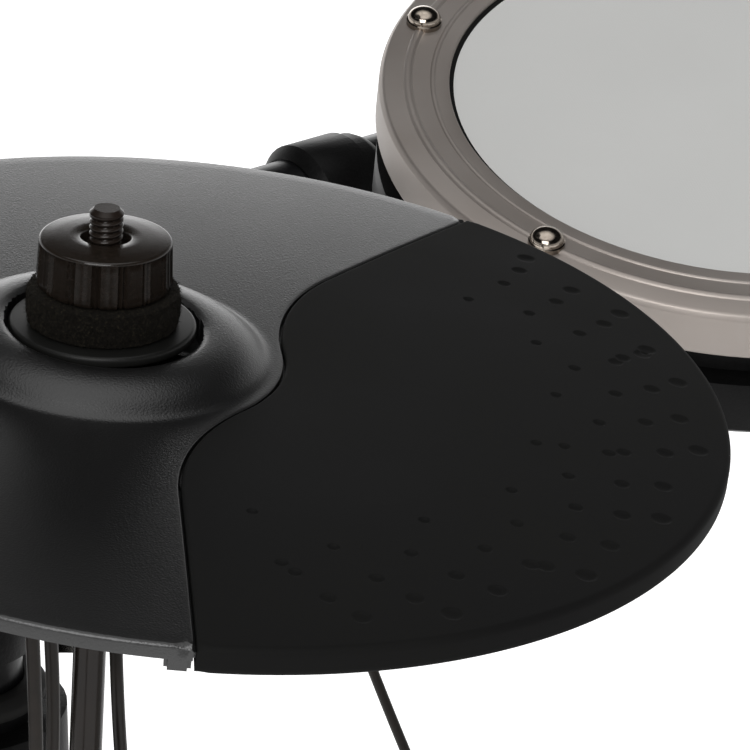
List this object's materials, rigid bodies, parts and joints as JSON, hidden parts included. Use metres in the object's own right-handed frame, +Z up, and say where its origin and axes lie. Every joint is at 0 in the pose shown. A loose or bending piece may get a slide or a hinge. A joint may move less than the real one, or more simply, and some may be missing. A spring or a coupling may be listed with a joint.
{
  "type": "electronic drum kit",
  "caption": "Electronic drum kit on a tubular rack: cymbal pads with rubber strike zones, mesh drum pads, kick tower with pedal, foot controller and sound module.",
  "frame": {"origin": "on the floor, under the kick tower's floor plate", "axes": "+X to the drummer's right, +Y away from the drummer, +Z up"},
  "size_m": [1.4301, 0.944, 1.221],
  "materials": {
    "tube_paint": "satin",
    "clamp_plastic": "matte",
    "bolt_steel": "satin",
    "foot_rubber": "matte",
    "bow_plastic": "textured",
    "strike_rubber": "matte",
    "base_plastic": "matte",
    "sensor_brass": "satin",
    "rod_steel": "polished",
    "seat_plastic": "satin",
    "felt": "felt",
    "knob_plastic": "satin",
    "hoop_metal": "satin",
    "mesh": "fine mesh",
    "shell_plastic": "matte",
    "chrome": "polished",
    "pedal_metal": "satin",
    "pad_rubber": "matte",
    "beater_felt": "felt",
    "module_plastic": "fine texture",
    "panel_plastic": "satin",
    "screen_glass": "gloss",
    "control_plastic": "satin",
    "cord_jacket": "satin"
  },
  "bodies": {
    "rack": {"rack_posts": "tube_paint", "rack_bars": "tube_paint", "feet_and_caps": "foot_rubber", "rack_clamps": "clamp_plastic", "wing_bolts": "bolt_steel", "pad_arms": "rod_steel", "hihat_rod": "rod_steel", "hihat_seats": "seat_plastic", "hihat_felt": "felt", "kick_frame": "tube_paint", "kick_housing": "shell_plastic", "kick_face": "pad_rubber", "kick_pedal_base": "pedal_metal", "control_base": "shell_plastic", "module_case": "module_plastic", "module_panel": "panel_plastic", "module_screen": "screen_glass", "cable_plugs": "base_plastic", "hihat_cord_a": "cord_jacket", "hihat_cord_b": "cord_jacket", "control_cord": "cord_jacket", "tom_cord": "cord_jacket"},
    "hihat_pad": {"hihat_bow": "bow_plastic", "hihat_rubber": "strike_rubber", "hihat_base": "base_plastic", "hihat_sensor": "sensor_brass"},
    "hihat_nut": {"hihat_knob": "knob_plastic"},
    "crash_arm": {"crash_boom": "tube_paint", "crash_washers": "felt"},
    "crash_pad": {"crash_bow": "bow_plastic", "crash_rubber": "strike_rubber", "crash_base": "base_plastic"},
    "crash_nut": {"crash_knob": "knob_plastic"},
    "ride_arm": {"ride_boom": "tube_paint", "ride_washers": "felt"},
    "ride_pad": {"ride_bow": "bow_plastic", "ride_rubber": "strike_rubber", "ride_base": "base_plastic"},
    "ride_nut": {"ride_knob": "knob_plastic"},
    "tom1_pad": {"tom1_shell": "shell_plastic", "tom1_hoop": "hoop_metal", "tom1_head": "mesh", "tom1_bolts": "chrome", "tom1_sensor": "sensor_brass"},
    "tom2_pad": {"tom2_shell": "shell_plastic", "tom2_hoop": "hoop_metal", "tom2_head": "mesh"},
    "tom3_pad": {"tom3_shell": "shell_plastic", "tom3_hoop": "hoop_metal", "tom3_head": "mesh"},
    "snare_pad": {"snare_shell": "shell_plastic", "snare_hoop": "hoop_metal", "snare_head": "mesh"},
    "kick_board": {"kick_footboard": "pedal_metal"},
    "beater": {"kick_beater": "beater_felt"},
    "control_pedal": {"control_board": "shell_plastic"},
    "dial": {"module_dial": "control_plastic"},
    "volume": {"module_volume": "control_plastic"},
    "key_a": {"module_key_a": "control_plastic"},
    "key_b": {"module_key_b": "control_plastic"}
  },
  "joints": [
    {"name": "hihat_rock", "type": "hinge", "parent": "rack", "child": "hihat_pad", "pos_m": [-0.4883, -0.6098, 0.9782], "axis": [0.5369, 0.8435, -0.0153], "range_deg": [-5, 2.5], "stiffness_Nm_per_rad": 6},
    {"name": "hihat_nut_turn", "type": "hinge", "parent": "rack", "child": "hihat_nut", "pos_m": [-0.4883, -0.6098, 0.9782], "axis": [0.0581, -0.0189, 0.9981], "continuous": true},
    {"name": "crash_swing", "type": "hinge", "parent": "rack", "child": "crash_arm", "pos_m": [-0.573, -0.17, 0.86], "axis": [0, 0, 1], "range_deg": [-35, 35]},
    {"name": "crash_rock", "type": "hinge", "parent": "crash_arm", "child": "crash_pad", "pos_m": [-0.47, -0.15, 1.185], "axis": [0.8823, 0.4706, -0.0117], "range_deg": [-5, 5], "stiffness_Nm_per_rad": 6},
    {"name": "crash_nut_turn", "type": "hinge", "parent": "crash_arm", "child": "crash_nut", "pos_m": [-0.47, -0.15, 1.185], "axis": [0.1169, -0.1948, 0.9739], "continuous": true},
    {"name": "ride_swing", "type": "hinge", "parent": "rack", "child": "ride_arm", "pos_m": [0.573, -0.17, 0.86], "axis": [0, 0, 1], "range_deg": [-35, 35]},
    {"name": "ride_rock", "type": "hinge", "parent": "ride_arm", "child": "ride_pad", "pos_m": [0.48, -0.16, 1.13], "axis": [0.8653, -0.5012, 0.0109], "range_deg": [-5, 5], "stiffness_Nm_per_rad": 6},
    {"name": "ride_nut_turn", "type": "hinge", "parent": "ride_arm", "child": "ride_nut", "pos_m": [0.48, -0.16, 1.13], "axis": [-0.1355, -0.2129, 0.9676], "continuous": true},
    {"name": "tom1_tilt", "type": "hinge", "parent": "rack", "child": "tom1_pad", "pos_m": [-0.17619, -0.22453, 0.80722], "axis": [0.9997, 0.0249, 0], "range_deg": [-10, 12]},
    {"name": "tom2_tilt", "type": "hinge", "parent": "rack", "child": "tom2_pad", "pos_m": [0.17619, -0.22453, 0.80722], "axis": [0.9997, -0.0249, 0], "range_deg": [-10, 12]},
    {"name": "tom3_tilt", "type": "hinge", "parent": "rack", "child": "tom3_pad", "pos_m": [0.36928, -0.46968, 0.7813], "axis": [0.817, -0.5767, 0], "range_deg": [-8, 10]},
    {"name": "snare_tilt", "type": "hinge", "parent": "rack", "child": "snare_pad", "pos_m": [-0.17, -0.71444, 0.62825], "axis": [1, 0, 0], "range_deg": [-8, 10]},
    {"name": "kick_press", "type": "hinge", "parent": "rack", "child": "kick_board", "pos_m": [0, -0.379, 0.02], "axis": [1, 0, 0], "range_deg": [-7.2, 0], "stiffness_Nm_per_rad": 6, "springref_deg": 14.32},
    {"name": "beater_swing", "type": "hinge", "parent": "rack", "child": "beater", "pos_m": [0, -0.125, 0.19], "axis": [1, 0, 0], "range_deg": [-43, 0]},
    {"name": "control_press", "type": "hinge", "parent": "rack", "child": "control_pedal", "pos_m": [-0.33, -0.8125, 0.02], "axis": [1, 0, 0], "range_deg": [-6, 0], "stiffness_Nm_per_rad": 6, "springref_deg": 14.32},
    {"name": "dial_turn", "type": "hinge", "parent": "rack", "child": "dial", "pos_m": [-0.63799, -0.54107, 0.905], "axis": [0.1812, -0.498, 0.848], "continuous": true},
    {"name": "volume_turn", "type": "hinge", "parent": "rack", "child": "volume", "pos_m": [-0.74978, -0.61154, 0.88751], "axis": [0.1812, -0.498, 0.848], "range_deg": [-135, 135]},
    {"name": "key_a_press", "type": "slide", "parent": "rack", "child": "key_a", "axis": [-0.1812, 0.498, -0.848], "range_m": [0, 0.0012], "stiffness_N_per_m": 400, "springref_m": -0.0006},
    {"name": "key_b_press", "type": "slide", "parent": "rack", "child": "key_b", "axis": [-0.1812, 0.498, -0.848], "range_m": [0, 0.0012], "stiffness_N_per_m": 400, "springref_m": -0.0006}
  ],
  "couplings": [
    {"joint": "beater_swing", "follows": "kick_press", "ratio": 5.9622}
  ]
}
